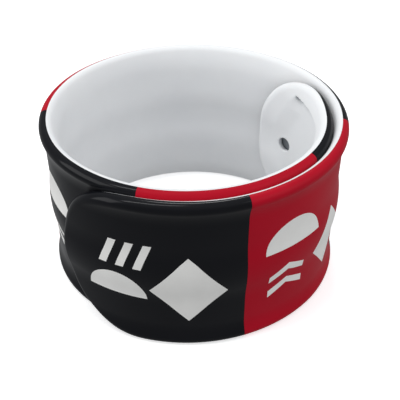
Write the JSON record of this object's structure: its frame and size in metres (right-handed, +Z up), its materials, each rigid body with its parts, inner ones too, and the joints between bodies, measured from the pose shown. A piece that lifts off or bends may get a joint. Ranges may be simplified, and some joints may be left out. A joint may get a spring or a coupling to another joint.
{
  "type": "slap bracelet",
  "caption": "Slap bracelet snapped into a coil of a turn and a half: white silicone liner, spring strip and a skin of black and red silicone blocks.",
  "frame": {"origin": "centre of the coil's footprint, on the surface that it stands on", "axes": "+Z up along the coil's axis, from the lower rim to the upper one; -Y towards the outer end's overlap, +X to the right of it"},
  "size_m": [0.0514, 0.0489, 0.0303],
  "materials": {
    "white_silicone": "satin",
    "black_silicone": "satin",
    "red_silicone": "satin",
    "spring_steel": "brushed"
  },
  "bodies": {
    "root": {"liner": "white_silicone", "spring_strip": "spring_steel", "black_block_1": "black_silicone", "red_block_1": "red_silicone", "black_block_2": "black_silicone", "red_block_2": "red_silicone", "black_block_3": "black_silicone", "red_block_3": "red_silicone", "black_block_4": "black_silicone"}
  },
  "joints": []
}
